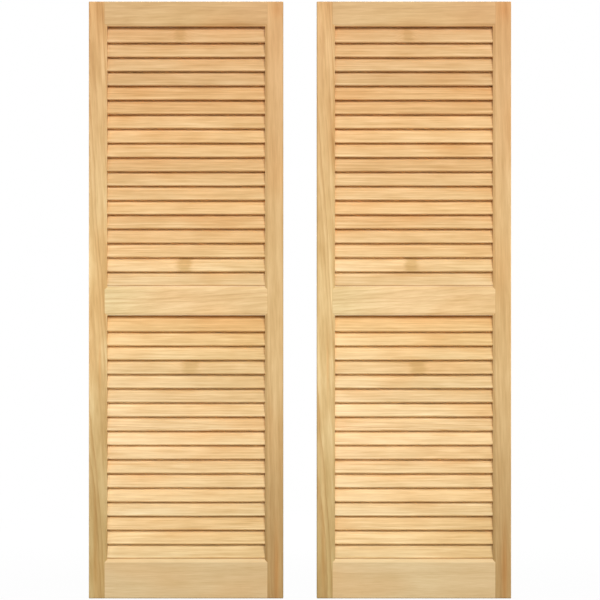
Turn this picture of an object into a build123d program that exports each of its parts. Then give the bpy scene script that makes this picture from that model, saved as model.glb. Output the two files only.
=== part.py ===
"""A pair of louvred pine window shutters.

Each shutter is a stile-and-rail frame. Two full-height stiles take the blind tenons of a top rail, a mid
rail and a bottom rail. The front edges around both openings are bevelled, and the ends of the rails are
coped over the bevels of the stiles. Between the rails, slats with rounded edges slope down towards the
front, and their ends sit in stopped slots cut across the inner edges of the stiles.

Frame: +Z is up and -Y is the front. The origin is the middle of the pair's bottom edge, halfway through
the thickness. Lengths are in millimetres and angles in degrees.
"""

import os
from math import cos, radians, sin

from build123d import *

# Driving dimensions of one shutter and of the pair
panel_height = 1194.0
panel_width = 389.0
panel_thickness = 28.6
panel_gap = 67.0  # clear space between the two shutters

# Stiles
stile_width = 36.5
stile_outer_radius = 2.5  # rounding of the two outer long edges
arris = 0.6  # broken sharp edges of the frame

# Rails
top_rail_height = 49.0
mid_rail_height = 58.4
bottom_rail_height = 79.0
mid_rail_base = 566.3  # height of the mid rail's lower edge above the foot of the stiles

# Bevels around the openings, measured across the front face and back from it
bevel_width = 5.0
bevel_depth = 2.2
sill_bevel_width = 7.0  # on top of the mid and bottom rails
sill_bevel_depth = 3.0

# Blind mortise and tenon joints
tenon_thickness = 9.5
tenon_shoulder = 9.0  # wood cut away above and below each tenon
mortise_wall = 11.5  # wood left in the stile behind each mortise
mortise_clearance = 0.15
mortise_end_gap = 1.0

# Slats and their slots
slat_thickness = 6.4
slat_crown = 1.5  # rise of the rounded edges
slat_angle = 30.0  # lean of the slats from the vertical
slat_setback = 3.2  # from the faces of the frame to the slats
slat_pitch = 28.6  # nominal, evened out to fill each bank
slat_end_gap = 0.2  # between the outermost slats of a bank and the rails
slot_depth = 7.0
slot_clearance = 0.15
slot_end_gap = 0.5

# Sizes worked out from the above
opening_width = panel_width - 2 * stile_width
panel_centre = (panel_gap + panel_width) / 2
front_face = -panel_thickness / 2
back_face = panel_thickness / 2

slat_lean = radians(slat_angle)
slat_flat = (panel_thickness - 2 * slat_setback - slat_thickness * cos(slat_lean)) / sin(slat_lean)
slat_width = slat_flat + 2 * slat_crown
slat_edge_radius = (slat_thickness**2 / 4 + slat_crown**2) / (2 * slat_crown)
slat_drop = (slat_width - 2 * slat_edge_radius) * cos(slat_lean) + 2 * slat_edge_radius  # height taken up
slat_length = opening_width + 2 * (slot_depth - slot_end_gap)
slat_rotation = 90 - slat_angle  # from +Y, in the plane that looks along the slats

mortise_depth = stile_width - mortise_wall
tenon_length = mortise_depth - mortise_end_gap

# Kinds of front edge, each by its width on the face and its depth
plain_edge = (arris, arris)
bevel = (bevel_width, bevel_depth)
sill_bevel = (sill_bevel_width, sill_bevel_depth)

# Rail name to the height of its lower edge, its own height, and its lower and upper front edges
rails = {
    "top_rail": (panel_height - top_rail_height, top_rail_height, bevel, plain_edge),
    "mid_rail": (mid_rail_base, mid_rail_height, bevel, sill_bevel),
    "bottom_rail": (0.0, bottom_rail_height, plain_edge, sill_bevel),
}

# Bank name to the heights of the rail edges below and above it
banks = {
    "upper_slats": (mid_rail_base + mid_rail_height, panel_height - top_rail_height),
    "lower_slats": (bottom_rail_height, mid_rail_base),
}


def slat_heights(low, high):
    """Heights of the slats' middles, spread evenly between the rail edges at low and high."""
    span = high - low - slat_drop - 2 * slat_end_gap
    steps = round(span / slat_pitch)
    lowest = low + slat_end_gap + slat_drop / 2
    return [lowest + span * step / steps for step in range(steps + 1)]


# Section of one slat, lying flat: straight faces between crowned edges
with BuildSketch() as slat_section:
    with BuildLine():
        Line((-slat_flat / 2, slat_thickness / 2), (slat_flat / 2, slat_thickness / 2))
        ThreePointArc(
            (slat_flat / 2, slat_thickness / 2),
            (slat_width / 2, 0),
            (slat_flat / 2, -slat_thickness / 2),
        )
        Line((slat_flat / 2, -slat_thickness / 2), (-slat_flat / 2, -slat_thickness / 2))
        ThreePointArc(
            (-slat_flat / 2, -slat_thickness / 2),
            (-slat_width / 2, 0),
            (-slat_flat / 2, slat_thickness / 2),
        )
    make_face()


def make_stile(inner_x, inward):
    """Stile whose inner edge stands at inner_x and faces inward, +1 for +X or -1 for -X."""
    outer_x = inner_x - inward * stile_width
    outer_side, inner_side = (0, -1) if inward > 0 else (-1, 0)
    with BuildPart() as stile:
        with BuildSketch(Plane.XY) as section:
            with BuildLine():
                Polyline(
                    (outer_x, front_face),
                    (inner_x - inward * bevel_width, front_face),
                    (inner_x, front_face + bevel_depth),
                    (inner_x, back_face),
                    (outer_x, back_face),
                    close=True,
                )
            make_face()
            fillet(section.vertices().group_by(Axis.X)[outer_side], radius=stile_outer_radius)
            chamfer(section.vertices().group_by(Axis.X)[inner_side].sort_by(Axis.Y)[-1], length=arris)
        extrude(amount=panel_height)
        chamfer(stile.faces().filter_by(Axis.Z).edges(), length=arris)

        # Mortises for the three rails
        with BuildSketch(Plane.YZ.offset(inner_x)):
            for base, height, _, _ in rails.values():
                with Locations((0, base + height / 2)):
                    Rectangle(
                        tenon_thickness + 2 * mortise_clearance,
                        height - 2 * tenon_shoulder + 2 * mortise_clearance,
                    )
        extrude(amount=-inward * mortise_depth, mode=Mode.SUBTRACT)

        # Stopped slots for the ends of the slats
        with BuildSketch(Plane.YZ.offset(inner_x)):
            for low, high in banks.values():
                with Locations(*[(0, height) for height in slat_heights(low, high)]):
                    Rectangle(
                        slat_width + 2 * slot_clearance,
                        slat_thickness + 2 * slot_clearance,
                        rotation=slat_rotation,
                    )
        extrude(amount=-inward * slot_depth, mode=Mode.SUBTRACT)
    return stile.part


def make_rail(name, centre_x):
    """Rail between the stiles of the shutter at centre_x, with a cope and a blind tenon on each end."""
    base, height, (lower_width, lower_depth), (upper_width, upper_depth) = rails[name]
    top = base + height
    ends = ((centre_x - opening_width / 2, -1), (centre_x + opening_width / 2, 1))
    with BuildPart() as rail:
        with BuildSketch(Plane.YZ.offset(centre_x)) as section:
            with BuildLine():
                Polyline(
                    (front_face, base + lower_width),
                    (front_face + lower_depth, base),
                    (back_face, base),
                    (back_face, top),
                    (front_face + upper_depth, top),
                    (front_face, top - upper_width),
                    close=True,
                )
            make_face()
            chamfer(section.vertices().group_by(Axis.X)[-1], length=arris)
        extrude(amount=opening_width / 2 + bevel_width, both=True)

        # Copes that lap over the bevels of the stiles
        with BuildSketch(Plane.XY.offset(base)):
            for end_x, outward in ends:
                with BuildLine():
                    Polyline(
                        (end_x + outward * bevel_width, front_face),
                        (end_x, front_face + bevel_depth),
                        (end_x, back_face),
                        (end_x + outward * bevel_width, back_face),
                        close=True,
                    )
                make_face()
        extrude(amount=height, mode=Mode.SUBTRACT)

        # Tenons
        for end_x, outward in ends:
            with BuildSketch(Plane.YZ.offset(end_x)):
                with Locations((0, base + height / 2)):
                    Rectangle(tenon_thickness, height - 2 * tenon_shoulder)
            extrude(amount=outward * tenon_length)
    return rail.part


def make_slats(name, centre_x):
    """Bank of separate slats in the shutter at centre_x."""
    with BuildPart() as slats:
        with BuildSketch(Plane.YZ.offset(centre_x - slat_length / 2)):
            with Locations(*[(0, height) for height in slat_heights(*banks[name])]):
                add(slat_section.sketch, rotation=slat_rotation)
        extrude(amount=slat_length)
    return slats.part


# Both shutters, piece by piece
pieces = {}
for side, outward in (("left", -1), ("right", 1)):
    centre_x = outward * panel_centre
    edge_x = outward * opening_width / 2
    pieces[f"{side}_outer_stile"] = make_stile(centre_x + edge_x, -outward)
    pieces[f"{side}_inner_stile"] = make_stile(centre_x - edge_x, outward)
    for name in rails:
        pieces[f"{side}_{name}"] = make_rail(name, centre_x)
    for name in banks:
        pieces[f"{side}_{name}"] = make_slats(name, centre_x)

os.makedirs("parts", exist_ok=True)
for name, piece in pieces.items():
    piece.label = name
    export_step(piece, f"parts/{name}.step")
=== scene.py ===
"""Looks of the louvred pine shutters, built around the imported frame.

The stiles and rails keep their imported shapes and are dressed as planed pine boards, each sawn from its own
place in the log. The slats are replaced by finer ones of the same section, with softened corners and the
slight bow of thin stock. Lengths are in metres.
"""

import logging
import math
from dataclasses import astuple, dataclass
from enum import Enum
from typing import Any, Union

import bpy
import numpy as np
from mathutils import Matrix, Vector


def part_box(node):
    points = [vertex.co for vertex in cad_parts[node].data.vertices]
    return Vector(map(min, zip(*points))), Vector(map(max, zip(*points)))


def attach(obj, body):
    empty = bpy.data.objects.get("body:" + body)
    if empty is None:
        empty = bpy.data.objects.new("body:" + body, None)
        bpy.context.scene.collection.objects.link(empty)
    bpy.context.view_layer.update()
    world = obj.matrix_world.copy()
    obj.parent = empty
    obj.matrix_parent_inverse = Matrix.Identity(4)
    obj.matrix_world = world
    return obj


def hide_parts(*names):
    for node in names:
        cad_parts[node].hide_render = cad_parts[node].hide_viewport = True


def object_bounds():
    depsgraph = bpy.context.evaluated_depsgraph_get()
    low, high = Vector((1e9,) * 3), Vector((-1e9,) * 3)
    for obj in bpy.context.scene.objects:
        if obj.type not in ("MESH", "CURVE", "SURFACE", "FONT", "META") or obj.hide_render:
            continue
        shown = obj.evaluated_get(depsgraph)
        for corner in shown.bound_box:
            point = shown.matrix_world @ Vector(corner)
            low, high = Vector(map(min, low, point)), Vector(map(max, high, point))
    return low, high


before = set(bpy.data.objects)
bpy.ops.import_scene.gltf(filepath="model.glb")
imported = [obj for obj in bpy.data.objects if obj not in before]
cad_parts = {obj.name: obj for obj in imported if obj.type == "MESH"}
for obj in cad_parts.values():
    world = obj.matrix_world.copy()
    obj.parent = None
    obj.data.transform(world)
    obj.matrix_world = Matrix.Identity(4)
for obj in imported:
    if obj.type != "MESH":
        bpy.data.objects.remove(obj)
cad_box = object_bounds()

MM = 0.001
BODY = "root"
FAR_AWAY = 10.0
NOISE_ROUGHNESS = 0.55  # strength of each finer octave of a noise against the one before it
END_GRAIN = (0.75, 0.95)  # how squarely a face looks along the grain where end grain starts and is full

Colour = tuple[float, float, float, float]
Pair = tuple[float, float]
Triple = tuple[float, float, float]
Operand = Union["Signal", float]

WHITE: Colour = (1.0, 1.0, 1.0, 1.0)

log = logging.getLogger("shutters")


def linear(red: int, green: int, blue: int) -> Colour:
    """Linear colour of an 8-bit one, by the sRGB transfer curve.

    Args:
        red, green, blue: Channels from 0 to 255.

    Returns:
        The colour as linear shares with full alpha.
    """
    shares = np.array([red, green, blue]) / 255.0
    curve = np.where(shares <= 0.04045, shares / 12.92, ((shares + 0.055) / 1.055) ** 2.4)
    return (float(curve[0]), float(curve[1]), float(curve[2]), 1.0)


def placed(name: str, data: bpy.types.ID) -> bpy.types.Object:
    """A new object in the scene.

    Args:
        name: Its name.
        data: Its mesh, lamp or camera.

    Returns:
        The object.
    """
    made = bpy.data.objects.new(name, data)
    bpy.context.scene.collection.objects.link(made)
    return made


class Side(Enum):
    """Which shutter of the pair, as seen from the front."""

    LEFT = "left"
    RIGHT = "right"


class GrainAxis(Enum):
    """Row axis that a board's grain runs along, with the axis across its face."""

    UPRIGHT = ("Z", "X")
    LEVEL = ("X", "Z")


@dataclass(frozen=True)
class Noise:
    """A noise in a board.

    Attributes:
        cells: Its cells in a metre along the grain, across the face and through the board.
        detail: Octaves of finer noise in it.
    """

    cells: Triple
    detail: float


class Signal:
    """A number on a shader socket that takes part in Python arithmetic."""

    def __init__(self, graph: "Graph", socket: bpy.types.NodeSocket) -> None:
        """Keeps the socket and the graph that further nodes go into."""
        self.graph = graph
        self.socket = socket

    def __add__(self, other: Operand) -> "Signal":
        """Sum."""
        return self.graph.maths("ADD", self, other)

    def __radd__(self, other: float) -> "Signal":
        """Sum with a number on the left."""
        return self.graph.maths("ADD", other, self)

    def __sub__(self, other: Operand) -> "Signal":
        """Difference."""
        return self.graph.maths("SUBTRACT", self, other)

    def __rsub__(self, other: float) -> "Signal":
        """Difference from a number on the left."""
        return self.graph.maths("SUBTRACT", other, self)

    def __mul__(self, other: Operand) -> "Signal":
        """Product."""
        return self.graph.maths("MULTIPLY", self, other)

    def __rmul__(self, other: float) -> "Signal":
        """Product with a number on the left."""
        return self.graph.maths("MULTIPLY", other, self)

    def __truediv__(self, other: Operand) -> "Signal":
        """Quotient."""
        return self.graph.maths("DIVIDE", self, other)

    def __rtruediv__(self, other: float) -> "Signal":
        """Quotient of a number on the left."""
        return self.graph.maths("DIVIDE", other, self)

    def __pow__(self, other: Operand) -> "Signal":
        """Power."""
        return self.graph.maths("POWER", self, other)

    def __rpow__(self, other: float) -> "Signal":
        """Power of a number on the left."""
        return self.graph.maths("POWER", other, self)

    def __neg__(self) -> "Signal":
        """Opposite."""
        return self.graph.maths("MULTIPLY", self, -1.0)

    def apply(self, operation: str) -> "Signal":
        """A Math node of one value, such as SQRT, FRACT or EXPONENT."""
        return self.graph.maths(operation, self)

    def smooth(self, low: float, high: float) -> "Signal":
        """A smooth step.

        Args:
            low: Value up to which it is 0.
            high: Value from which it is 1.

        Returns:
            The step.
        """
        node = self.graph.node(
            "ShaderNodeMapRange",
            {"interpolation_type": "SMOOTHSTEP"},
            {"Value": self, "From Min": low, "From Max": high},
        )
        return self.graph.number(node)


class Graph:
    """A node tree that is written as expressions."""

    def __init__(self, tree: bpy.types.NodeTree) -> None:
        """Empties the tree."""
        self.tree = tree
        tree.nodes.clear()

    def node(self, kind: str, settings: dict[str, Any] | None = None,
             inputs: dict[str | int, Any] | None = None) -> bpy.types.Node:
        """Adds any node.

        Args:
            kind: The node's type.
            settings: Properties, set first. The key stops holds a ramp's places and grey levels.
            inputs: Values or links of its sockets, by name or number.

        Returns:
            The node.
        """
        made = self.tree.nodes.new(kind)
        for name, value in (settings or {}).items():
            if name == "stops":
                self._set_stops(made.color_ramp, value)
            else:
                setattr(made, name, value)
        for key, value in (inputs or {}).items():
            if isinstance(value, Signal):
                value = value.socket
            if isinstance(value, bpy.types.NodeSocket):
                self.tree.links.new(value, made.inputs[key])
            else:
                made.inputs[key].default_value = value
        return made

    @staticmethod
    def _set_stops(ramp: bpy.types.ColorRamp, stops: tuple[Pair, ...]) -> None:
        """Gives a ramp its stops.

        Args:
            ramp: The ramp.
            stops: The place and the grey level of each stop.
        """
        while len(ramp.elements) < len(stops):
            ramp.elements.new(0.5)
        for element, (place, level) in zip(ramp.elements, stops):
            element.position = place
            element.color = (level, level, level, 1.0)

    def number(self, node: bpy.types.Node, output: str | int = 0) -> Signal:
        """One of a node's outputs as a number."""
        return Signal(self, node.outputs[output])

    def maths(self, operation: str, *values: Operand) -> Signal:
        """A Math node on one, two or three values."""
        return self.number(self.node("ShaderNodeMath", {"operation": operation}, dict(enumerate(values))))

    @staticmethod
    def distance(first: Signal, second: Signal) -> Signal:
        """Length of a line by its parts along two axes."""
        return (first * first + second * second).apply("SQRT")

    def split(self, vector: bpy.types.NodeSocket) -> tuple[Signal, Signal, Signal]:
        """The three parts of a vector."""
        node = self.node("ShaderNodeSeparateXYZ", None, {0: vector})
        return self.number(node, 0), self.number(node, 1), self.number(node, 2)

    def join(self, x: Operand, y: Operand, z: Operand) -> bpy.types.NodeSocket:
        """A vector from its three parts."""
        return self.node("ShaderNodeCombineXYZ", None, {0: x, 1: y, 2: z}).outputs[0]

    def mix(self, share: Operand, first: Any, second: Any, blend: str = "MIX") -> bpy.types.NodeSocket:
        """The first colour with a share of the second mixed in, in the way that blend names."""
        settings = {"data_type": "RGBA", "blend_type": blend}
        return self.node("ShaderNodeMix", settings, {0: share, 6: first, 7: second}).outputs[2]

    def noise(self, place: bpy.types.NodeSocket, noise: Noise) -> Signal:
        """A noise about 0.5.

        Args:
            place: The point in the board.
            noise: The noise.

        Returns:
            Its value there.
        """
        scaled = self.node("ShaderNodeMapping", None, {"Vector": place, "Scale": noise.cells}).outputs[0]
        inputs = {"Vector": scaled, "Scale": 1.0, "Detail": noise.detail, "Roughness": NOISE_ROUGHNESS}
        return self.number(self.node("ShaderNodeTexNoise", None, inputs))

    def ripple(self, place: bpy.types.NodeSocket, noise: Noise) -> Signal:
        """A noise about 0."""
        return self.noise(place, noise) - 0.5

    def wobble(self, along: Signal) -> Signal:
        """A noise about 0.5 of one number, with cells that measure 1."""
        inputs = {"W": along, "Scale": 1.0, "Detail": 0.0}
        return self.number(self.node("ShaderNodeTexNoise", {"noise_dimensions": "1D"}, inputs))

    def end_grain(self, axis: str) -> Signal:
        """1 on faces that look along the axis of the grain."""
        normal = self.split(self.node("ShaderNodeNewGeometry").outputs["Normal"])
        return dict(zip("XYZ", normal))[axis].apply("ABSOLUTE").smooth(*END_GRAIN)


@dataclass(frozen=True)
class Knot:
    """A hidden knot that shows as a dark patch on a slat's face.

    Attributes:
        along: Place along the grain from the slat's middle.
        across: Place across the face from the slat's middle.
        radius: Half width of its core.
        dark: Share of the knot's own colour at its middle.
    """

    along: float
    across: float
    radius: float
    dark: float


NO_KNOT = Knot(FAR_AWAY, 0.0, 1.0 * MM, 0.0)


@dataclass(frozen=True)
class Flush:
    """A soft patch of redder wood on a board's face.

    Attributes:
        along: Place along the grain from the board's middle.
        across: Place across the face from the board's middle.
        length: Half length along the grain.
        width: Half width across it.
        share: Share of the heartwood's colour at its middle.
    """

    along: float
    across: float
    length: float
    width: float
    share: float

    def cover(self, along: Signal, across: Signal) -> Signal:
        """Its share at a point of the board: a bell of the distances over its half sizes.

        Args:
            along: Place along the grain from the board's middle.
            across: Place across the face from the board's middle.

        Returns:
            Share of the heartwood's colour.
        """
        far_along = (along - self.along) / self.length
        far_across = (across - self.across) / self.width
        return (-(far_along * far_along + far_across * far_across)).apply("EXPONENT") * self.share


@dataclass(frozen=True)
class Grain:
    """Where a shaded point lies in its board.

    Attributes:
        place: Vector along the grain, across the face and through the board.
        rings: Growth rings counted from the pith.
        pale: Colour of the board's spring wood there, with the painted light and shade of its bevels and its
            lowest edge, or of a slat's front lip.
        figure: Strength of the growth rings.
        streaks: Streaks in a metre, along the grain and across it, and their strength.
        flush: Share of redder wood.
        push: How far a knot pushes the rings outwards, in rings.
        core: Share of a knot's own colour.
        end_share: 1 on end grain.
        seam: 1 on a seam with the next board.
    """

    place: bpy.types.NodeSocket
    rings: Signal
    pale: bpy.types.NodeSocket
    figure: Operand
    streaks: Triple
    flush: Operand
    push: Operand
    core: Operand
    end_share: Signal
    seam: Operand


@dataclass(frozen=True)
class BoardPlan:
    """How one stile or rail of a shutter is sawn from its log.

    Attributes:
        node: Its node's name after the side, or the hand of a stile.
        axis: Way the grain runs.
        pith: Place of the pith line across the face and through the board, from the board's middle.
        drift: Slope of the pith line against the board, across and through.
        ring_gap: Width of one growth ring.
        pales: Colours of its spring wood at the low or left end, at its middle and at the other end.
        figure: Strength of the growth rings.
        streaks: Streaks in a metre, along the grain and across it, and their strength.
        flushes: The redder patches on its face.
        painted_bevel_light: Painted light on its bevel against its face, or painted shade where it is
            negative.
        edge_side: 1 where that bevel is on the upper or the right edge, -1 where it is on the left one.
    """

    node: str
    axis: GrainAxis
    pith: Pair
    drift: Pair
    ring_gap: float
    pales: tuple[Colour, Colour, Colour]
    figure: float
    streaks: Triple
    flushes: tuple[Flush, ...] = ()
    painted_bevel_light: float = 0.0
    edge_side: float = 1.0


@dataclass(frozen=True)
class SawnBoard:
    """A stile or rail in its place, in Object coordinates.

    Attributes:
        plan: How it is sawn.
        middle: The board's middle.
        length: Its length along the grain.
        shift: Offset of the fine patterns, so that no two boards match.
        seam_front: Distance of its seams from its middle on the front, or far away.
        seam_back: The same on the back.
        edge: Distance from its middle to the start of its bevel.
        first_fade: Where the first of its colours turns into the second, in shares of its length.
        last_fade: Where the second turns into the third.
        seam_fade: Where a seam starts and where it is full, from its line.
        foot: Shade of its lowest few millimetres, where it stands on the floor.
        foot_height: Height over which that shade fades.
    """

    plan: BoardPlan
    middle: Vector
    length: float
    shift: float
    seam_front: float
    seam_back: float
    edge: float
    first_fade: Pair = (-0.5, -0.05)
    last_fade: Pair = (0.0, 0.45)
    seam_fade: Pair = (-0.5 * MM, -0.1 * MM)
    foot: float = 0.3
    foot_height: float = 4.0 * MM

    def grain(self, graph: Graph) -> Grain:
        """Grain from the piece's Object coordinates.

        The pith is a straight line that leans against the board, and a point's ring count is its distance
        from that line over the ring gap.

        Args:
            graph: The material's graph.

        Returns:
            The board's grain.
        """
        plan = self.plan
        coordinates = graph.node("ShaderNodeTexCoord").outputs["Object"]
        offset = graph.node(
            "ShaderNodeVectorMath",
            {"operation": "SUBTRACT"},
            {0: coordinates, 1: self.middle},
        )
        parts = dict(zip("XYZ", graph.split(offset.outputs[0])))
        grain_axis, face_axis = plan.axis.value
        along, across, through = parts[grain_axis], parts[face_axis], parts["Y"]
        pith_across = across - plan.pith[0] - along * plan.drift[0]
        pith_through = through - plan.pith[1] - along * plan.drift[1]

        share = along / self.length
        first, halfway, last = plan.pales
        pale = graph.mix(share.smooth(*self.first_fade), first, halfway)
        pale = graph.mix(share.smooth(*self.last_fade), pale, last)
        # Painted light and shade: the bevel on the front is painted lighter or darker than the face, and the
        # lowest few millimetres are painted darker where the board stands on the floor.
        front = graph.maths("LESS_THAN", through, 0.0)
        bevelled = graph.maths("GREATER_THAN", across * plan.edge_side, self.edge)
        cut = 1.0 + front * bevelled * plan.painted_bevel_light
        standing = 1.0 - self.foot * (1.0 - (parts["Z"] + self.middle.z).smooth(0.0, self.foot_height))
        light = cut * standing
        seam_place = self.seam_back + front * (self.seam_front - self.seam_back)
        return Grain(
            place=graph.join(along + self.shift, pith_across, pith_through),
            rings=graph.distance(pith_across, pith_through) / plan.ring_gap,
            pale=graph.mix(1.0, pale, graph.join(light, light, light), "MULTIPLY"),
            figure=plan.figure,
            streaks=plan.streaks,
            flush=sum(flush.cover(along, across) for flush in plan.flushes),
            push=0.0,
            core=0.0,
            end_share=graph.end_grain(grain_axis),
            seam=(along.apply("ABSOLUTE") - seam_place).smooth(*self.seam_fade),
        )


@dataclass(frozen=True)
class SlatStock:
    """The slats' thin boards, whose grain is on the mesh's own attributes.

    Attributes:
        streaks: Streaks in a metre, along the grain and across it, and their strength.
        knot_narrowing: Share of the distance across the grain that counts, which draws a knot out.
        knot_edge: Where a knot's core starts to fade and where it ends, in knot radii.
        knot_fall: How fast a knot's effect on the wood around it falls with the distance.
        knot_flush: Share of redder wood around a knot.
        knot_push: How far a knot pushes the rings outwards, in rings.
        ragged: Noise of a knot's ragged edge.
        raggedness: How far it moves that edge, in knot radii.
    """

    streaks: Triple
    knot_narrowing: float = 0.5
    knot_edge: Pair = (0.4, 1.3)
    knot_fall: float = 0.35
    knot_flush: float = 0.15
    knot_push: float = 2.4
    ragged: Noise = Noise((40.0, 110.0, 110.0), 2.0)
    raggedness: float = 1.4

    def grain(self, graph: Graph) -> Grain:
        """Grain from the attributes place, ring, pale and knot.

        A knot is drawn out across the grain, with a ragged edge, and the rings and the redder wood around
        it fade as a bell of the distance.

        Args:
            graph: The material's graph.

        Returns:
            The slats' grain.
        """
        read = {name: graph.node("ShaderNodeAttribute", {"attribute_name": name}).outputs["Vector"]
                for name in ("place", "ring", "pale", "knot")}
        ring_across, ring_through, figure = graph.split(read["ring"])
        knot_along, knot_across, knot_dark = graph.split(read["knot"])
        distance = graph.distance(knot_along, knot_across * self.knot_narrowing)
        near = (distance * distance * -self.knot_fall).apply("EXPONENT")
        edge = distance + graph.ripple(read["place"], self.ragged) * self.raggedness
        return Grain(
            place=read["place"],
            rings=graph.distance(ring_across, ring_through),
            pale=read["pale"],
            figure=figure,
            streaks=self.streaks,
            flush=near * self.knot_flush,
            push=near * self.knot_push,
            core=(1.0 - edge.smooth(*self.knot_edge)) * knot_dark,
            end_share=graph.end_grain("X"),
            seam=0.0,
        )


@dataclass(frozen=True)
class PineFinish:
    """Planed bare pine, with its colours as shares of the spring wood's.

    Attributes:
        late: Summer wood that draws the growth rings.
        heart: Redder heartwood.
        core: Wood over a knot.
        deepening: Powers of a dark streak's shade that red, green and blue take.
        ring_stops: Summer wood over one ring, as places from its inner to its outer edge and shares.
        faintest: Strength of the faintest ring against the strongest.
        year_step: Step from one ring to the next in the noise of their strengths.
        year_strengths: Values of that noise that give the faintest and the strongest ring.
        year_pace: Pace at which the rings' widths change.
        year_change: How far those changes move a ring, in rings.
        bend: Noise that bends the rings slowly.
        wander: How far the rings are bent, in rings.
        waver: Finer noise that bends them.
        waver_rings: How far it bends them, in rings.
        streak_detail: Octaves of finer noise in the broad streaks along the grain.
        streak_share: Strength of those streaks.
        fibre: Noise of the fine fibres.
        fibre_share: Their strength.
        blotch: Noise of the slow changes of tone.
        blotch_share: Their strength.
        blotch_rings: How much they change the rings' strength.
        flush: Noise of the redder patches.
        flush_range: Its values where a patch starts and is full.
        flush_share: Their strength.
        dash: Noise of the short dark dashes.
        dash_range: Its values where a dash starts and is full.
        dash_shade: Their strength.
        end_shade: Shade of end grain.
        seam_shade: Shade of a seam.
        roughness: Plain roughness of the planed face.
        late_polish: How much smoother summer wood is.
        fibre_rough: Change of roughness by the fibres.
        end_rough: How much rougher end grain is.
        specular: Level of the plain gloss.
        relief: Height of the raised grain.
        relief_strength: How strongly that height shows.
        relief_shares: Shares of the fibres, the summer wood and the streaks in it.
    """

    late: Colour = (0.69, 0.5, 0.31, 1.0)
    heart: Colour = (0.98, 0.78, 0.58, 1.0)
    core: Colour = (0.76, 0.71, 0.56, 1.0)
    deepening: Triple = (0.75, 1.1, 1.7)
    ring_stops: tuple[Pair, ...] = ((0.0, 0.0), (0.35, 0.06), (0.72, 0.5), (0.9, 1.0), (1.0, 0.05))
    faintest: float = 0.2
    year_step: float = 2.37
    year_strengths: Pair = (0.25, 0.7)
    year_pace: float = 0.45
    year_change: float = 2.2
    bend: Noise = Noise((4.0, 22.0, 22.0), 2.0)
    wander: float = 2.4
    waver: Noise = Noise((40.0, 150.0, 150.0), 1.0)
    waver_rings: float = 0.3
    streak_detail: float = 3.0
    streak_share: float = 0.6
    fibre: Noise = Noise((24.0, 900.0, 900.0), 3.0)
    fibre_share: float = 0.4
    blotch: Noise = Noise((12.0, 34.0, 34.0), 2.0)
    blotch_share: float = 0.4
    blotch_rings: float = 1.2
    flush: Noise = Noise((5.0, 11.0, 31.0), 1.0)
    flush_range: Pair = (0.45, 0.8)
    flush_share: float = 0.4
    dash: Noise = Noise((55.0, 2300.0, 2300.0), 0.0)
    dash_range: Pair = (0.66, 0.8)
    dash_shade: float = 0.05
    end_shade: float = 0.2
    seam_shade: float = 0.35
    roughness: float = 0.6
    late_polish: float = 0.08
    fibre_rough: float = 0.12
    end_rough: float = 0.15
    specular: float = 0.3
    relief: float = 0.12 * MM
    relief_strength: float = 0.6
    relief_shares: Triple = (0.6, -0.35, 0.3)

    def material(self, name: str, lumber: SawnBoard | SlatStock) -> bpy.types.Material:
        """Pine on one kind of lumber.

        The spring wood's colour is multiplied by the summer wood of the rings, by the redder patches and by
        knots. Noises drawn out along the grain add streaks, fibres and dashes. The colour darkens on end
        grain and at seams. Fibres, rings and streaks raise the grain.

        Args:
            name: The material's name.
            lumber: Where the grain comes from.

        Returns:
            The material.
        """
        made = bpy.data.materials.new(name)
        made.use_nodes = True
        graph = Graph(made.node_tree)
        grain = lumber.grain(graph)
        along, across, strength = grain.streaks

        late = self._late_wood(graph, grain)
        streak = graph.ripple(grain.place, Noise((along, across, across), self.streak_detail))
        fibre = graph.ripple(grain.place, self.fibre)
        blotch = graph.ripple(grain.place, self.blotch)
        flush = graph.noise(grain.place, self.flush).smooth(*self.flush_range)
        dashes = graph.noise(grain.place, self.dash).smooth(*self.dash_range)

        colour = grain.pale
        for share, tone in (
            (late * (grain.figure * (1.0 + blotch * self.blotch_rings)), self.late),
            (flush * self.flush_share, self.heart),
            (grain.flush, self.heart),
            (grain.core, self.core),
        ):
            colour = graph.mix(share, colour, tone, "MULTIPLY")
        shade = (
            1.0
            + streak * (self.streak_share * strength)
            + fibre * self.fibre_share
            + blotch * (self.blotch_share * strength)
            - dashes * self.dash_shade
        )
        shade = shade * (1.0 - grain.end_share * self.end_shade) * (1.0 - self.seam_shade * grain.seam)
        tint = graph.join(*(shade**power for power in self.deepening))

        fibre_relief, late_relief, streak_relief = self.relief_shares
        height = fibre * fibre_relief + late * late_relief + streak * streak_relief
        bump = graph.node(
            "ShaderNodeBump",
            None,
            {"Strength": self.relief_strength, "Distance": self.relief, "Height": height},
        )
        rough = self.roughness - late * self.late_polish + fibre * self.fibre_rough
        surface = graph.node(
            "ShaderNodeBsdfPrincipled",
            None,
            {
                "Base Color": graph.mix(1.0, colour, tint, "MULTIPLY"),
                "Roughness": rough + grain.end_share * self.end_rough,
                "Normal": bump.outputs[0],
                "Specular IOR Level": self.specular,
            },
        )
        graph.node("ShaderNodeOutputMaterial", None, {0: surface.outputs[0]})
        return made

    def _late_wood(self, graph: Graph, grain: Grain) -> Signal:
        """Share of summer wood.

        It is a skewed wave of the ring count: a slow rise through the spring wood and a sharp end at the
        summer wood. The rings' widths and strengths change from year to year by noises of the count. The
        rings are bent by a slow noise and a finer one, and pushed outwards around a knot.

        Args:
            graph: The material's graph.
            grain: The lumber's grain.

        Returns:
            The share, from 0 to 1.
        """
        bend = graph.ripple(grain.place, self.bend)
        waver = graph.ripple(grain.place, self.waver)
        years = (graph.wobble(grain.rings * self.year_pace) - 0.5) * self.year_change
        count = grain.rings + years + bend * self.wander + waver * self.waver_rings + grain.push
        wave = graph.node("ShaderNodeValToRGB", {"stops": self.ring_stops}, {0: count.apply("FRACT")})
        year = graph.wobble(count.apply("FLOOR") * self.year_step).smooth(*self.year_strengths)
        return graph.number(wave) * (year * (1.0 - self.faintest) + self.faintest)


PINE = PineFinish()


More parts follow.
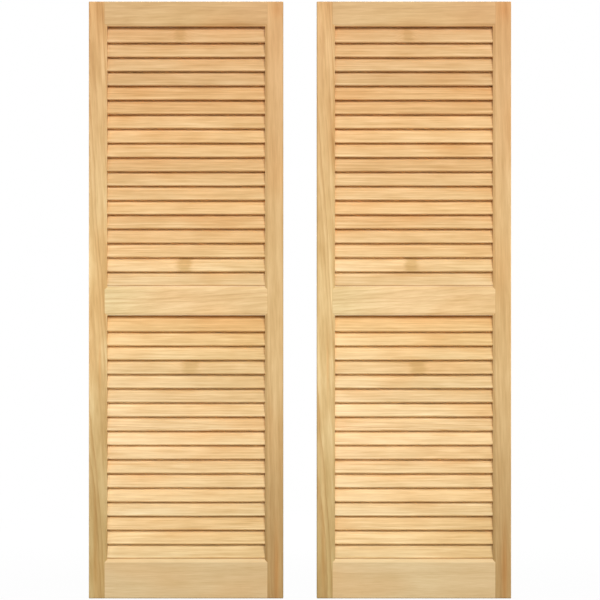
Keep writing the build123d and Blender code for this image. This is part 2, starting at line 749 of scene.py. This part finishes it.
@dataclass
class ShutterFrame:
    """Stiles and rails of one shutter, kept as packed and dressed as pine boards.

    Attributes:
        side: Which shutter.
        plans: How its boards are sawn.
        bevel: Width of the bevels that the ends of the rails lap over.
        sill: Width of the bevels on top of the mid and bottom rails.
        board_shift: Offset of the fine patterns from one board to the next.
        side_shift: Offset of the fine patterns of the right shutter from those of the left one.
    """

    side: Side
    plans: tuple[BoardPlan, ...]
    bevel: float = 5.0 * MM
    sill: float = 7.0 * MM
    board_shift: float = 3.7
    side_shift: float = 41.3

    def dress(self) -> None:
        """Gives each stile and rail its own board of pine."""
        for number, plan in enumerate(self.plans):
            name = self._node_name(plan)
            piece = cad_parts[name]
            piece.data.materials.clear()
            piece.data.materials.append(PINE.material(f"pine_{name}", self._board(name, number, plan)))
            log.info("%s dressed as a %s board", name, plan.axis.name.lower())

    def _node_name(self, plan: BoardPlan) -> str:
        """The node of a plan: a left or right hand stile is the outer or the inner one by side.

        Args:
            plan: The plan.

        Returns:
            The node's name.
        """
        if plan.node in ("left_stile", "right_stile"):
            outer = plan.node.startswith(self.side.value)
            return f"{self.side.value}_{'outer' if outer else 'inner'}_stile"
        return f"{self.side.value}_{plan.node}"

    def _opening(self) -> float:
        """Clear width between the two stiles.

        Returns:
            The width.
        """
        stiles = [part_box(f"{self.side.value}_{end}_stile") for end in ("outer", "inner")]
        left, right = sorted(stiles, key=lambda box: box[0].x)
        return right[0].x - left[1].x

    def _board(self, name: str, number: int, plan: BoardPlan) -> SawnBoard:
        """The board of a plan, with its sizes and place from its node's box.

        Args:
            name: The board's node.
            number: Its number in the shutter.
            plan: How it is sawn.

        Returns:
            The board.
        """
        low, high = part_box(name)
        size = high - low
        level = plan.axis is GrainAxis.LEVEL
        seam = self._opening() / 2 if level else FAR_AWAY
        return SawnBoard(
            plan=plan,
            middle=(low + high) / 2,
            length=max(size),
            shift=self.board_shift * number + (self.side_shift if self.side is Side.RIGHT else 0.0),
            seam_front=seam + self.bevel,
            seam_back=seam,
            edge=size.z / 2 - self.sill if level else size.x / 2 - self.bevel,
        )


@dataclass
class LouvreBank:
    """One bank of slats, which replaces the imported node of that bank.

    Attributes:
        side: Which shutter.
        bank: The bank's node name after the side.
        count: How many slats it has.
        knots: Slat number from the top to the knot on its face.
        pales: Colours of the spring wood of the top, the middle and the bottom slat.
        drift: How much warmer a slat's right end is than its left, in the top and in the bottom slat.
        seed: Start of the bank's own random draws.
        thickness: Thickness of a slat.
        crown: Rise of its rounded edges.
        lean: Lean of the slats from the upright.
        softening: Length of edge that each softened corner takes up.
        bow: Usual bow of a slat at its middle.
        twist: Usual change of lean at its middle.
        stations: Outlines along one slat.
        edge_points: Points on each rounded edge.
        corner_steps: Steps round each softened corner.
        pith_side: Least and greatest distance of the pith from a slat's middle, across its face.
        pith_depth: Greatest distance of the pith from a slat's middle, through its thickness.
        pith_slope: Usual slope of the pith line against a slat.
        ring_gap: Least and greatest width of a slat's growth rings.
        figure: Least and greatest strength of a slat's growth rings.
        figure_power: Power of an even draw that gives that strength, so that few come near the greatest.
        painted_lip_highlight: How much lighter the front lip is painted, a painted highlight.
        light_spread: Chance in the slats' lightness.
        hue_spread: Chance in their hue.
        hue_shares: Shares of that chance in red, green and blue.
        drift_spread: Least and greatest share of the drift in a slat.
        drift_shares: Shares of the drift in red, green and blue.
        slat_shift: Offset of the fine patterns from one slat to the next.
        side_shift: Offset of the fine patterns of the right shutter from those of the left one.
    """

    side: Side
    bank: str
    count: int
    knots: dict[int, Knot]
    pales: tuple[Colour, Colour, Colour]
    drift: Pair
    seed: int
    thickness: float = 6.4 * MM
    crown: float = 1.5 * MM
    lean: float = math.radians(30.0)
    softening: float = 1.5 * MM
    bow: float = 0.16 * MM
    twist: float = math.radians(0.35)
    stations: int = 25
    edge_points: int = 9
    corner_steps: int = 4
    pith_side: Pair = (18.0 * MM, 75.0 * MM)
    pith_depth: float = 32.0 * MM
    pith_slope: float = 0.012
    ring_gap: Pair = (2.4 * MM, 4.4 * MM)
    figure: Pair = (0.18, 0.95)
    figure_power: int = 3
    painted_lip_highlight: float = 0.07
    light_spread: float = 0.06
    hue_spread: float = 0.09
    hue_shares: Triple = (0.0, 0.45, 1.0)
    drift_spread: Pair = (0.5, 1.5)
    drift_shares: Triple = (0.75, 1.0, 1.6)
    slat_shift: float = 1.31
    side_shift: float = 17.9

    def build(self) -> bpy.types.Object:
        """Makes the slats, one closed tube each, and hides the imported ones.

        Returns:
            The bank.
        """
        node = f"{self.side.value}_{self.bank}"
        low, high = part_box(node)
        flat = ((high.y - low.y) - self.thickness * math.cos(self.lean)) / math.sin(self.lean)
        outline = self.outline(flat)
        draws = np.random.default_rng(self.seed)
        points = self._points(low, high, outline, flat, draws)
        along = points[..., 0] - (low.x + high.x) / 2

        mesh = bpy.data.meshes.new(f"{node}_fine")
        mesh.from_pydata(points.reshape(-1, 3).tolist(), [], self._faces(len(outline)))
        mesh.shade_smooth()
        for name, values in self._attributes(along, outline, flat, draws).items():
            attribute = mesh.attributes.new(name, "FLOAT_VECTOR", "POINT")
            attribute.data.foreach_set("vector", values.astype(np.float32).ravel())
        piece = placed(f"{node}_fine", mesh)
        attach(piece, BODY)
        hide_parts(node)
        log.info("%s: %d slats, %d faces", piece.name, self.count, len(mesh.polygons))
        return piece

    @property
    def edge_radius(self) -> float:
        """Radius of the rounded edges, arcs as wide as the thickness with the crown as their rise."""
        return ((self.thickness / 2) ** 2 + self.crown**2) / (2 * self.crown)

    def outline(self, flat: float) -> np.ndarray:
        """Closed outline of one slat lying flat.

        Each edge is an arc through both corners with the crown as its rise. A corner is a quadratic curve
        between a point on the arc and one on the flat face. The second half is the first turned half round.

        Args:
            flat: Width of the flat faces.

        Returns:
            Points across the width and through the thickness, anticlockwise.
        """
        half = self.thickness / 2
        radius = self.edge_radius
        centre = flat / 2 + self.crown - radius
        reach = math.asin(half / radius) - self.softening / radius
        turn = np.linspace(-reach, reach, self.edge_points)
        arc = np.stack([centre + radius * np.cos(turn), radius * np.sin(turn)], axis=1)
        inset = flat / 2 - self.softening
        stops = np.array([inset, inset - self.softening, 0.0, self.softening - inset, -inset])
        face = np.stack([stops, np.full(len(stops), half)], axis=1)
        first = self._corner(arc[-1], np.array([flat / 2, half]), face[0])
        second = self._corner(face[-1], np.array([-flat / 2, half]), -arc[0])
        side = np.concatenate([arc, first, face, second])
        return np.concatenate([side, -side])

    def _corner(self, start: np.ndarray, corner: np.ndarray, end: np.ndarray) -> np.ndarray:
        """Inner points of a quadratic curve from start to end that bends at the corner."""
        share = np.linspace(0.0, 1.0, self.corner_steps + 1)[1:-1, None]
        return (1 - share) ** 2 * start + 2 * share * (1 - share) * corner + share**2 * end

    def _shares(self) -> np.ndarray:
        """Places of the stations as shares of a slat's length."""
        return np.linspace(0.0, 1.0, self.stations)[None, :, None]

    def _points(self, low: Vector, high: Vector, outline: np.ndarray, flat: float,
                draws: np.random.Generator) -> np.ndarray:
        """Points of all the slats.

        A slat's outline is carried along its length. Its middle is lifted by a parabola, its bow, and its
        lean changes by another, its twist, apart from the outermost slats, which lie against the rails.

        Args:
            low, high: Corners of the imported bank.
            outline: Outline of one slat lying flat.
            flat: Width of the slats' flat faces.
            draws: The bank's random draws.

        Returns:
            Points by slat, station and place on the outline.
        """
        radius = self.edge_radius
        drop = (flat + 2 * self.crown - 2 * radius) * math.cos(self.lean) + 2 * radius
        heights = np.linspace(high.z - drop / 2, low.z + drop / 2, self.count)[:, None, None]
        share = self._shares()
        belly = 4 * share * (1 - share)
        across, through = outline.T[:, None, None, :]
        each = (self.count, 1, 1)
        free = np.ones(each)
        free[[0, -1]] = 0.0
        lift = draws.normal(0.0, self.bow, each) * belly * free
        turn = self.lean + draws.normal(0.0, self.twist, each) * belly * free
        x = np.broadcast_to(low.x + (high.x - low.x) * share, (self.count, self.stations, len(outline)))
        y = (low.y + high.y) / 2 + across * np.sin(turn) - through * np.cos(turn)
        z = heights + lift + across * np.cos(turn) + through * np.sin(turn)
        return np.stack([x, y, z], axis=-1)

    def _attributes(self, along: np.ndarray, outline: np.ndarray, flat: float,
                    draws: np.random.Generator) -> dict[str, np.ndarray]:
        """What the pine reads from the mesh.

        The attribute place is the point in the slat's own board, ring the place from the pith in ring gaps
        with the rings' strength, pale the slat's own colour with a painted highlight on its front lip, and
        knot the place from its knot in knot radii with the knot's darkness.

        Args:
            along: Each point's place along its slat, from the slat's middle.
            outline: Outline of one slat lying flat.
            flat: Width of the slats' flat faces.
            draws: The bank's random draws.

        Returns:
            One vector for each point, by the attribute's name.
        """
        across, through = (np.broadcast_to(part, along.shape) for part in outline.T)
        each = (self.count, 1, 1)
        number = np.arange(self.count)[:, None, None]
        side_shift = self.side_shift if self.side is Side.RIGHT else 0.0
        log_place = along + self.slat_shift * number + self.seed + side_shift
        place = np.stack([log_place, across, through], axis=-1)

        pith = draws.uniform(*self.pith_side, each) * draws.choice([-1, 1], each)
        depth = draws.uniform(-self.pith_depth, self.pith_depth, each)
        slope_across, slope_through = draws.normal(0.0, self.pith_slope, (2, *each))
        gap = draws.uniform(*self.ring_gap, each)
        fading = 1.0 - self._drifts(draws)[:, None, None, :] * (self._shares() - 0.5)[..., None]
        pale = self._pales(draws)[:, None, None, :] * fading
        plain, figured = self.figure
        strength = plain + (figured - plain) * draws.uniform(0.0, 1.0, each) ** self.figure_power
        ring_across = (across - pith - slope_across * along) / gap
        ring_through = (through - depth - slope_through * along) / gap
        ring = np.stack([ring_across, ring_through, np.broadcast_to(strength, along.shape)], axis=-1)

        knots = np.array([astuple(self.knots.get(slat + 1, NO_KNOT)) for slat in range(self.count)])
        knot_along, knot_across, radius, dark = knots.T[:, :, None, None]
        from_knot = ((along - knot_along) / radius, (across - knot_across) / radius)
        knot = np.stack([*from_knot, np.broadcast_to(dark, along.shape)], axis=-1)
        # Painted highlight: the front lip is painted lighter where light catches its rounded edge.
        lip = across + flat / 2 - self.softening < 0.0
        pale = np.broadcast_to(pale, place.shape) * (1.0 + self.painted_lip_highlight * lip[..., None])
        return {"place": place, "ring": ring, "pale": pale, "knot": knot}

    def _pales(self, draws: np.random.Generator) -> np.ndarray:
        """Colour of each slat's spring wood, between the three given, with chance in light and hue.

        Args:
            draws: The bank's random draws.

        Returns:
            One linear colour for each slat.
        """
        fall = np.linspace(0.0, 1.0, self.count)
        channels = np.array(self.pales)[:, :3].T
        usual = np.stack([np.interp(fall, (0.0, 0.5, 1.0), channel) for channel in channels], axis=1)
        light = draws.uniform(1.0 - self.light_spread, 1.0 + self.light_spread, (self.count, 1))
        warm = draws.uniform(-self.hue_spread, self.hue_spread, (self.count, 1))
        return usual * light * (1.0 - warm * np.array(self.hue_shares))

    def _drifts(self, draws: np.random.Generator) -> np.ndarray:
        """How much deeper each slat's right end is than its left, most in blue and least in red.

        Args:
            draws: The bank's random draws.

        Returns:
            One share for each slat and colour channel.
        """
        fall = np.linspace(0.0, 1.0, self.count)[:, None]
        usual = self.drift[0] + (self.drift[1] - self.drift[0]) * fall
        return usual * draws.uniform(*self.drift_spread, (self.count, 1)) * np.array(self.drift_shares)

    def _faces(self, around: int) -> list[list[int]]:
        """Quads between neighbouring outlines of each slat, and a cap on each of its ends.

        Args:
            around: Points in one outline.

        Returns:
            The faces' vertex numbers, outward.
        """
        index = np.arange(self.count * self.stations * around).reshape(self.count, self.stations, around)
        here, there = index[:, :-1], index[:, 1:]
        quads = np.stack([here, there, np.roll(there, -1, axis=2), np.roll(here, -1, axis=2)], axis=-1)
        caps = np.concatenate([index[:, 0, :], index[:, -1, ::-1]])
        return quads.reshape(-1, 4).tolist() + caps.tolist()


@dataclass(frozen=True)
class SoftLight:
    """A rectangular soft light.

    Attributes:
        name: Its name.
        place: Where it hangs.
        aim: The point that it faces.
        size: Width and height.
        watts: Its power.
        spread: Angle of its beam, in degrees.
    """

    name: str
    place: Triple
    aim: Triple
    size: Pair
    watts: float
    spread: float = 180.0

    def hang(self) -> None:
        """Puts the light into the scene, facing its aim."""
        lamp = bpy.data.lights.new(self.name, "AREA")
        lamp.shape = "RECTANGLE"
        lamp.size, lamp.size_y = self.size
        lamp.energy = self.watts
        lamp.spread = math.radians(self.spread)
        holder = placed(self.name, lamp)
        holder.location = self.place
        holder.rotation_euler = (Vector(self.aim) - Vector(self.place)).to_track_quat("-Z", "Y").to_euler()


@dataclass
class Studio:
    """White studio with soft lights, and the camera at the photograph's place.

    The key light hangs in front. Narrow faint ones light the outer edges and the top, from just behind the
    front face, so that they don't reach it. The back is lit from the floor behind, which another light
    shines down on.

    Attributes:
        eye_distance: From the camera to the front of the shutters.
        view_height: Height of what the square picture shows at the front of the shutters.
        ambient: Light of the surround on the shutters, a little warm.
        floor_size: Side of the floor.
        floor_drop: How far the floor lies under the shutters.
        floor_paint: Colour of the floor as the light finds it.
        floor_glow: Share of the floor's white by the shutters that no shadow takes away.
        glow_reach: Distances from the middle where that share starts to rise and where it is 1.
        lights: The lights.
    """

    eye_distance: float = 4.0
    view_height: float = 1.2
    ambient: Colour = (0.075, 0.07, 0.05, 1.0)
    floor_size: float = 12.0
    floor_drop: float = 0.5 * MM
    floor_paint: Colour = (0.4, 0.4, 0.4, 1.0)
    floor_glow: float = 0.98
    glow_reach: Pair = (0.4, 1.6)
    lights: tuple[SoftLight, ...] = (
        SoftLight("key", (0.7, -5.5, 2.8), (0.0, 0.0, 0.6), (3.2, 2.0), 318.0),
        SoftLight("left_side", (-2.4, 0.12, 0.6), (-0.42, 0.0, 0.6), (0.2, 1.3), 1.8, 40.0),
        SoftLight("right_side", (2.4, 0.12, 0.6), (0.42, 0.0, 0.6), (0.2, 1.3), 1.8, 40.0),
        SoftLight("top", (0.0, 0.12, 3.0), (0.0, 0.0, 1.2), (1.3, 0.2), 1.5, 40.0),
        SoftLight("bounce", (0.0, 1.7, 2.2), (0.0, 1.7, 0.0), (2.4, 1.0), 95.0, 60.0),
    )

    def build(self) -> None:
        """Sets up the camera, the lights, the surround and the floor."""
        self._camera()
        for light in self.lights:
            light.hang()
        self._surround()
        self._floor()
        bpy.context.scene.view_settings.view_transform = "Standard"

    def _camera(self) -> None:
        """A level camera straight in front of the pair, at half its height."""
        low, high = cad_box
        lens = bpy.data.cameras.new("camera")
        lens.lens = lens.sensor_width * self.eye_distance / self.view_height
        camera = placed("camera", lens)
        camera.location = ((low.x + high.x) / 2, low.y - self.eye_distance, (low.z + high.z) / 2)
        camera.rotation_euler = (math.pi / 2, 0.0, 0.0)
        bpy.context.scene.camera = camera

    @staticmethod
    def _seen(graph: Graph) -> Signal:
        """Rays that show the background: from the camera, or by gloss or glass.

        Args:
            graph: The graph of the background's material.

        Returns:
            1 for such a ray.
        """
        paths = graph.node("ShaderNodeLightPath")
        camera, glossy, clear = (
            graph.number(paths, name) for name in ("Is Camera Ray", "Is Glossy Ray", "Is Transmission Ray")
        )
        return graph.maths("MAXIMUM", camera, graph.maths("MAXIMUM", glossy, clear))

    def _surround(self) -> None:
        """A world that is white to look at and lights the shutters softly."""
        world = bpy.data.worlds.new("surround")
        world.use_nodes = True
        bpy.context.scene.world = world
        graph = Graph(world.node_tree)
        colour = graph.mix(self._seen(graph), self.ambient, WHITE)
        light = graph.node("ShaderNodeBackground", None, {"Color": colour, "Strength": 1.0})
        graph.node("ShaderNodeOutputWorld", None, {0: light.outputs[0]})

    def _floor(self) -> None:
        """A white floor under the shutters that keeps a pale shadow."""
        corners = np.array([[-1, -1], [1, -1], [1, 1], [-1, 1]]) * self.floor_size / 2
        points = np.column_stack([corners, np.full(len(corners), cad_box[0].z - self.floor_drop)])
        mesh = bpy.data.meshes.new("floor")
        mesh.from_pydata(points.tolist(), [], [[0, 1, 2, 3]])
        floor = placed("floor", mesh)

        paint = bpy.data.materials.new("floor_white")
        paint.use_nodes = True
        graph = Graph(paint.node_tree)
        matt = graph.node("ShaderNodeBsdfDiffuse", None, {"Color": self.floor_paint})
        glow = graph.node("ShaderNodeEmission", None, {"Color": WHITE, "Strength": 1.0})
        place = graph.node("ShaderNodeTexCoord").outputs["Object"]
        far = graph.number(graph.node("ShaderNodeVectorMath", {"operation": "LENGTH"}, {0: place}), "Value")
        white = self.floor_glow + far.smooth(*self.glow_reach) * (1.0 - self.floor_glow)
        share = self._seen(graph) * white
        both = graph.node("ShaderNodeMixShader", None, {0: share, 1: matt.outputs[0], 2: glow.outputs[0]})
        graph.node("ShaderNodeOutputMaterial", None, {0: both.outputs[0]})
        mesh.materials.append(paint)


# How the boards of each shutter are sawn
BOARDS = (
    BoardPlan(
        node="left_stile",
        axis=GrainAxis.UPRIGHT,
        pith=(-44.0 * MM, 26.0 * MM),
        drift=(-0.05, 0.02),
        ring_gap=7.0 * MM,
        pales=(linear(202, 172, 113), linear(232, 197, 137), linear(221, 177, 119)),
        figure=0.65,
        streaks=(6.0, 95.0, 1.4),
        flushes=(
            Flush(-500.0 * MM, -5.0 * MM, 120.0 * MM, 4.0 * MM, 0.5),
            Flush(-130.0 * MM, 4.0 * MM, 55.0 * MM, 2.5 * MM, 0.6),
        ),
        painted_bevel_light=-0.05,
    ),
    BoardPlan(
        node="right_stile",
        axis=GrainAxis.UPRIGHT,
        pith=(40.0 * MM, 30.0 * MM),
        drift=(-0.03, 0.01),
        ring_gap=7.5 * MM,
        pales=(linear(188, 151, 96), linear(224, 186, 128), linear(217, 171, 115)),
        figure=0.35,
        streaks=(5.0, 95.0, 0.9),
        flushes=(
            Flush(580.0 * MM, 4.0 * MM, 18.0 * MM, 13.0 * MM, 0.55),
            Flush(-545.0 * MM, 5.0 * MM, 90.0 * MM, 5.5 * MM, 0.95),
        ),
        painted_bevel_light=-0.08,
        edge_side=-1.0,
    ),
    BoardPlan(
        node="top_rail",
        axis=GrainAxis.LEVEL,
        pith=(-40.0 * MM, 34.0 * MM),
        drift=(0.02, 0.02),
        ring_gap=7.5 * MM,
        pales=(linear(217, 178, 125), linear(216, 177, 122), linear(214, 170, 116)),
        figure=0.35,
        streaks=(7.0, 110.0, 0.85),
    ),
    BoardPlan(
        node="mid_rail",
        axis=GrainAxis.LEVEL,
        pith=(-30.0 * MM, 34.0 * MM),
        drift=(0.08, 0.03),
        ring_gap=6.5 * MM,
        pales=(linear(240, 212, 156), linear(245, 208, 153), linear(237, 201, 145)),
        figure=0.5,
        streaks=(8.0, 150.0, 0.9),
        painted_bevel_light=0.03,
    ),
    BoardPlan(
        node="bottom_rail",
        axis=GrainAxis.LEVEL,
        pith=(-50.0 * MM, 50.0 * MM),
        drift=(0.01, 0.015),
        ring_gap=9.5 * MM,
        pales=(linear(229, 200, 151), linear(226, 198, 149), linear(224, 193, 143)),
        figure=0.2,
        streaks=(2.5, 60.0, 0.4),
        painted_bevel_light=0.16,
    ),
)

# What the slats of each bank are cut from
SLAT_STOCK = SlatStock(streaks=(9.0, 220.0, 1.0))
UPPER_KNOTS = {
    1: Knot(-12.0 * MM, 0.0, 12.0 * MM, 0.5),
    17: Knot(-4.0 * MM, 0.0, 17.0 * MM, 0.8),
}
UPPER_PALES = (linear(225, 187, 136), linear(232, 190, 133), linear(238, 205, 152))
LOWER_KNOTS = {4: Knot(9.5 * MM, 0.0, 18.0 * MM, 0.65)}
LOWER_PALES = (linear(239, 201, 141), linear(246, 215, 164), linear(240, 208, 152))


def main() -> None:
    """Dresses both shutters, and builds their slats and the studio."""
    logging.basicConfig(level=logging.INFO, format="%(name)s: %(message)s")
    slat_finish = PINE.material("pine_slats", SLAT_STOCK)
    for side in Side:
        ShutterFrame(side, BOARDS).dress()
        banks = (
            LouvreBank(side, "upper_slats", 18, UPPER_KNOTS, UPPER_PALES, drift=(0.0, 0.15), seed=13),
            LouvreBank(side, "lower_slats", 17, LOWER_KNOTS, LOWER_PALES, drift=(0.15, 0.16), seed=29),
        )
        for bank in banks:
            bank.build().data.materials.append(slat_finish)
    Studio().build()


if __name__ == "__main__":
    main()
